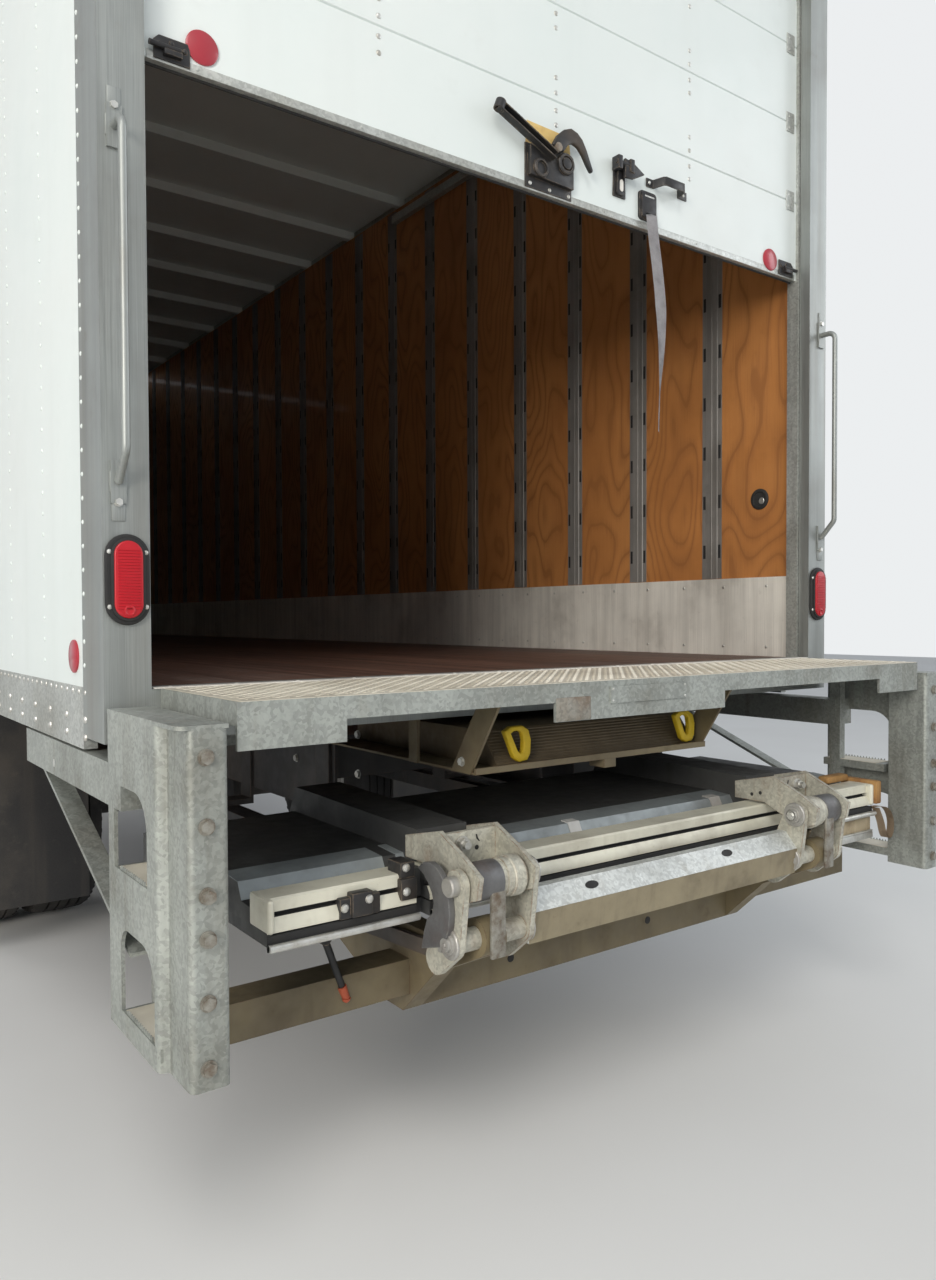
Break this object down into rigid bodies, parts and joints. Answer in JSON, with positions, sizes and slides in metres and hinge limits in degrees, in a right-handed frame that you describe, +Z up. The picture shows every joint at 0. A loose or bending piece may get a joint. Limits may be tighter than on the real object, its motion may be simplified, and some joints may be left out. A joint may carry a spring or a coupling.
{
  "type": "box truck with slide-under tail lift",
  "caption": "Bonneted box truck with a long van body, roll-up rear door, corner steps and a slide-under tail lift folded below the sill.",
  "frame": {"origin": "on the ground below the centre of the truck's outer box", "axes": "+Z up, +Y towards the rear doorway, +X towards the driver's side, front of the truck towards -Y"},
  "size_m": [2.68, 11.29, 3.945],
  "materials": {
    "frame_black": "satin",
    "mass_grey": "rough",
    "tank_aluminium": "brushed",
    "cab_white": "gloss",
    "glass": "clear",
    "cab_trim": "matte",
    "seat_cloth": "woven",
    "bumper_paint": "gloss",
    "floor_wood": "worn",
    "body_white": "gloss",
    "plywood": "oiled",
    "scuff_metal": "scuffed",
    "stainless": "brushed",
    "rail_aluminium": "mill",
    "hardware_black": "satin",
    "webbing": "woven",
    "lamp_red": "gloss",
    "galvanised": "spangled",
    "tread_plate": "worn",
    "beam_paint": "satin",
    "flap_rubber": "matte",
    "tyre_rubber": "matte",
    "wheel_white": "satin",
    "platform_alloy": "weathered",
    "lamp_clear": "clear"
  },
  "bodies": {
    "truck": {"chassis_frame": "frame_black", "leaf_springs": "frame_black", "front_axle": "frame_black", "rear_axle": "frame_black", "engine_block": "mass_grey", "drivetrain": "mass_grey", "fuel_tank": "tank_aluminium", "battery_box": "tank_aluminium", "exhaust": "stainless", "cab_shell": "cab_white", "cab_glass": "glass", "dashboard": "cab_trim", "steering_wheel": "cab_trim", "seats": "seat_cloth", "front_bumper": "bumper_paint", "box_floor": "floor_wood", "side_walls": "body_white", "front_wall": "body_white", "box_roof": "body_white", "side_rails": "rail_aluminium", "plywood_liners": "plywood", "scuff_plates": "scuff_metal", "rear_frame": "stainless", "roll_door": "body_white", "door_tracks": "galvanised", "door_latches": "hardware_black", "pull_strap": "webbing", "tail_lamps": "lamp_red", "handrails": "stainless", "sill_extension": "tread_plate", "ramp_rack": "beam_paint", "walk_ramp": "tread_plate", "step_bumpers": "galvanised", "mudflaps": "flap_rubber", "lift_rails": "frame_black"},
    "left_door": {"left_door_panel": "cab_white", "left_door_glass": "glass"},
    "right_door": {"right_door_panel": "cab_white", "right_door_glass": "glass"},
    "bonnet": {"hood_shell": "cab_white", "grille": "bumper_paint", "headlamps": "lamp_clear"},
    "left_knuckle": {"left_knuckle": "frame_black"},
    "right_knuckle": {"right_knuckle": "frame_black"},
    "left_front_wheel": {"left_front_tyre": "tyre_rubber", "left_front_rim": "wheel_white"},
    "right_front_wheel": {"right_front_tyre": "tyre_rubber", "right_front_rim": "wheel_white"},
    "left_rear_wheels": {"left_rear_tyres": "tyre_rubber", "left_rear_rims": "wheel_white"},
    "right_rear_wheels": {"right_rear_tyres": "tyre_rubber", "right_rear_rims": "wheel_white"},
    "lift_carriage": {"lift_carriage": "frame_black"},
    "lift_arms": {"lift_arms": "beam_paint"},
    "lift_links": {"lift_links": "frame_black"},
    "lift_head": {"lift_head": "galvanised", "hook_plates": "hardware_black", "bumper_bar": "galvanised"},
    "lift_platform": {"platform": "platform_alloy", "hinge_brackets": "galvanised"}
  },
  "joints": [
    {"name": "steer_left", "type": "hinge", "parent": "truck", "child": "left_knuckle", "pos_m": [0.94, -4.778, 0.5], "axis": [0, 0, 1], "range_deg": [-35, 35]},
    {"name": "steer_right", "type": "hinge", "parent": "truck", "child": "right_knuckle", "pos_m": [-0.94, -4.778, 0.5], "axis": [0, 0, 1], "range_deg": [-35, 35]},
    {"name": "left_front_roll", "type": "hinge", "parent": "left_knuckle", "child": "left_front_wheel", "pos_m": [1.03, -4.778, 0.5], "axis": [1, 0, 0], "continuous": true},
    {"name": "right_front_roll", "type": "hinge", "parent": "right_knuckle", "child": "right_front_wheel", "pos_m": [-1.03, -4.778, 0.5], "axis": [1, 0, 0], "continuous": true},
    {"name": "left_rear_roll", "type": "hinge", "parent": "truck", "child": "left_rear_wheels", "pos_m": [0.945, 2.322, 0.5], "axis": [1, 0, 0], "continuous": true},
    {"name": "right_rear_roll", "type": "hinge", "parent": "truck", "child": "right_rear_wheels", "pos_m": [-0.945, 2.322, 0.5], "axis": [1, 0, 0], "continuous": true},
    {"name": "left_door_swing", "type": "hinge", "parent": "truck", "child": "left_door", "pos_m": [1.036, -4.128, 1.7], "axis": [0, 0, -1], "range_deg": [0, 65]},
    {"name": "right_door_swing", "type": "hinge", "parent": "truck", "child": "right_door", "pos_m": [-1.036, -4.128, 1.7], "axis": [0, 0, 1], "range_deg": [0, 65]},
    {"name": "bonnet_tilt", "type": "hinge", "parent": "truck", "child": "bonnet", "pos_m": [0, -5.428, 0.72], "axis": [1, 0, 0], "range_deg": [0, 60]},
    {"name": "lift_slide", "type": "slide", "parent": "truck", "child": "lift_carriage", "axis": [0, 1, 0], "range_m": [0, 0.85]},
    {"name": "lift_lower", "type": "hinge", "parent": "lift_carriage", "child": "lift_arms", "pos_m": [0, 4.422, 0.62], "axis": [-1, 0, 0], "range_deg": [0, 32.5]},
    {"name": "link_follow", "type": "hinge", "parent": "lift_carriage", "child": "lift_links", "pos_m": [0, 4.362, 0.57], "axis": [-1, 0, 0], "range_deg": [0, 32.5]},
    {"name": "head_level", "type": "hinge", "parent": "lift_arms", "child": "lift_head", "pos_m": [0, 5.585, 0.707], "axis": [1, 0, 0], "range_deg": [0, 32.5]},
    {"name": "platform_follow", "type": "hinge", "parent": "lift_head", "child": "lift_platform", "pos_m": [0, 5.602, 0.835], "axis": [-1, 0, 0], "range_deg": [0, 32.5]}
  ],
  "couplings": [
    {"joint": "steer_right", "follows": "steer_left", "ratio": 1},
    {"joint": "link_follow", "follows": "lift_lower", "ratio": 1},
    {"joint": "head_level", "follows": "lift_lower", "ratio": 1},
    {"joint": "platform_follow", "follows": "lift_lower", "ratio": 1}
  ]
}
